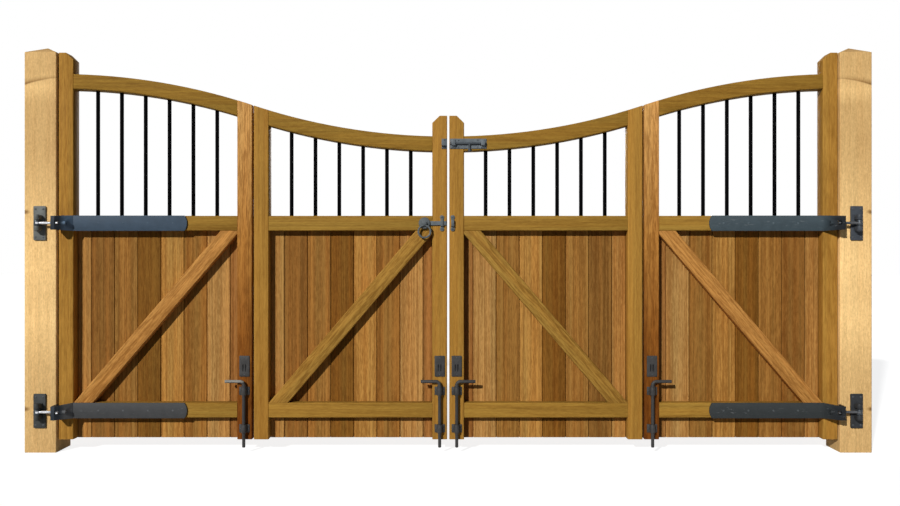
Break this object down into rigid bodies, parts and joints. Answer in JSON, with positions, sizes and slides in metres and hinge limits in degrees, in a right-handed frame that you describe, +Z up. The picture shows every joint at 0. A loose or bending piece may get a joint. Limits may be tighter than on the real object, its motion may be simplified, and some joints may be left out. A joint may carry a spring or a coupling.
{
  "type": "wooden bi-fold gate",
  "caption": "Wooden bi-fold driveway gate with swan-neck top rails, iron bars over braced boarding, strap hinges, drop bolts and a ring latch between two square posts.",
  "frame": {"origin": "centre of the left post's foot, at ground level", "axes": "+X along the gate from the left post to the right one, +Y away from the side with the fastenings, +Z up"},
  "size_m": [3.978, 0.218, 1.916],
  "materials": {
    "post_pine": "planed pale pine",
    "stile_timber": "planed golden timber, satin stain",
    "rail_timber": "planed olive-golden timber, satin stain",
    "brace_timber": "planed reddish timber, satin stain",
    "board_timber": "grooved boards of mixed tone, satin stain",
    "black_bar": "black paint",
    "dark_iron": "dark grey powder coat",
    "zinc_rod": "bright zinc plate"
  },
  "bodies": {
    "posts": {"left_post": "post_pine", "right_post": "post_pine", "left_hinge_brackets": "dark_iron", "right_hinge_brackets": "dark_iron"},
    "left_outer_leaf": {"left_outer_stiles": "stile_timber", "left_outer_rails": "rail_timber", "left_outer_brace": "brace_timber", "left_outer_boards": "board_timber", "left_outer_bars": "black_bar", "left_outer_fold_flaps": "dark_iron", "left_outer_bolt_guides": "dark_iron", "left_straps": "dark_iron", "left_hinge_eyes": "zinc_rod"},
    "left_outer_bolt": {"left_outer_drop_bolt": "dark_iron"},
    "left_inner_leaf": {"left_inner_stiles": "stile_timber", "left_inner_rails": "rail_timber", "left_inner_brace": "brace_timber", "left_inner_boards": "board_timber", "left_inner_bars": "black_bar", "left_inner_fold_flaps": "dark_iron", "left_inner_bolt_guides": "dark_iron", "top_bolt_keeper": "dark_iron", "latch_rose": "dark_iron"},
    "left_inner_bolt": {"left_inner_drop_bolt": "dark_iron"},
    "right_outer_leaf": {"right_outer_stiles": "stile_timber", "right_outer_rails": "rail_timber", "right_outer_brace": "brace_timber", "right_outer_boards": "board_timber", "right_outer_bars": "black_bar", "right_outer_fold_flaps": "dark_iron", "right_outer_bolt_guides": "dark_iron", "right_straps": "dark_iron", "right_hinge_eyes": "zinc_rod"},
    "right_outer_bolt": {"right_outer_drop_bolt": "dark_iron"},
    "right_inner_leaf": {"right_inner_stiles": "stile_timber", "right_inner_rails": "rail_timber", "right_inner_brace": "brace_timber", "right_inner_boards": "board_timber", "right_inner_bars": "black_bar", "right_inner_fold_flaps": "dark_iron", "right_inner_bolt_guides": "dark_iron", "top_bolt_plate": "dark_iron", "latch_catch": "dark_iron"},
    "right_inner_bolt": {"right_inner_drop_bolt": "dark_iron"},
    "top_bolt": {"top_bolt": "dark_iron"},
    "latch_bar": {"latch_bar": "dark_iron"},
    "latch_ring": {"latch_ring": "dark_iron"}
  },
  "joints": [
    {"name": "left_post_hinge", "type": "hinge", "parent": "posts", "child": "left_outer_leaf", "pos_m": [0, -0.107, 1.077], "axis": [0, 0, -1], "range_deg": [0, 100]},
    {"name": "left_fold_hinge", "type": "hinge", "parent": "left_outer_leaf", "child": "left_inner_leaf", "pos_m": [0.995, 0.008, 0.8], "axis": [0, 0, 1], "range_deg": [0, 180]},
    {"name": "left_outer_bolt_slide", "type": "slide", "parent": "left_outer_leaf", "child": "left_outer_bolt", "axis": [0, 0, 1], "range_m": [0, 0.065]},
    {"name": "left_inner_bolt_slide", "type": "slide", "parent": "left_inner_leaf", "child": "left_inner_bolt", "axis": [0, 0, 1], "range_m": [0, 0.065]},
    {"name": "right_post_hinge", "type": "hinge", "parent": "posts", "child": "right_outer_leaf", "pos_m": [3.828, -0.107, 1.077], "axis": [0, 0, 1], "range_deg": [0, 100]},
    {"name": "right_fold_hinge", "type": "hinge", "parent": "right_outer_leaf", "child": "right_inner_leaf", "pos_m": [2.833, 0.008, 0.8], "axis": [0, 0, -1], "range_deg": [0, 180]},
    {"name": "right_outer_bolt_slide", "type": "slide", "parent": "right_outer_leaf", "child": "right_outer_bolt", "axis": [0, 0, 1], "range_m": [0, 0.065]},
    {"name": "right_inner_bolt_slide", "type": "slide", "parent": "right_inner_leaf", "child": "right_inner_bolt", "axis": [0, 0, 1], "range_m": [0, 0.065]},
    {"name": "top_bolt_slide", "type": "slide", "parent": "right_inner_leaf", "child": "top_bolt", "axis": [1, 0, 0], "range_m": [-0.036, 0]},
    {"name": "latch_ring_turn", "type": "hinge", "parent": "left_inner_leaf", "child": "latch_ring", "pos_m": [1.803, -0.085, 1.077], "axis": [0, 1, 0], "range_deg": [-60, 0]},
    {"name": "latch_bar_slide", "type": "slide", "parent": "left_inner_leaf", "child": "latch_bar", "axis": [-1, 0, 0], "range_m": [-0.036, 0]}
  ],
  "couplings": [
    {"joint": "latch_bar_slide", "follows": "latch_ring_turn", "m_per_rad": 0.03437}
  ]
}
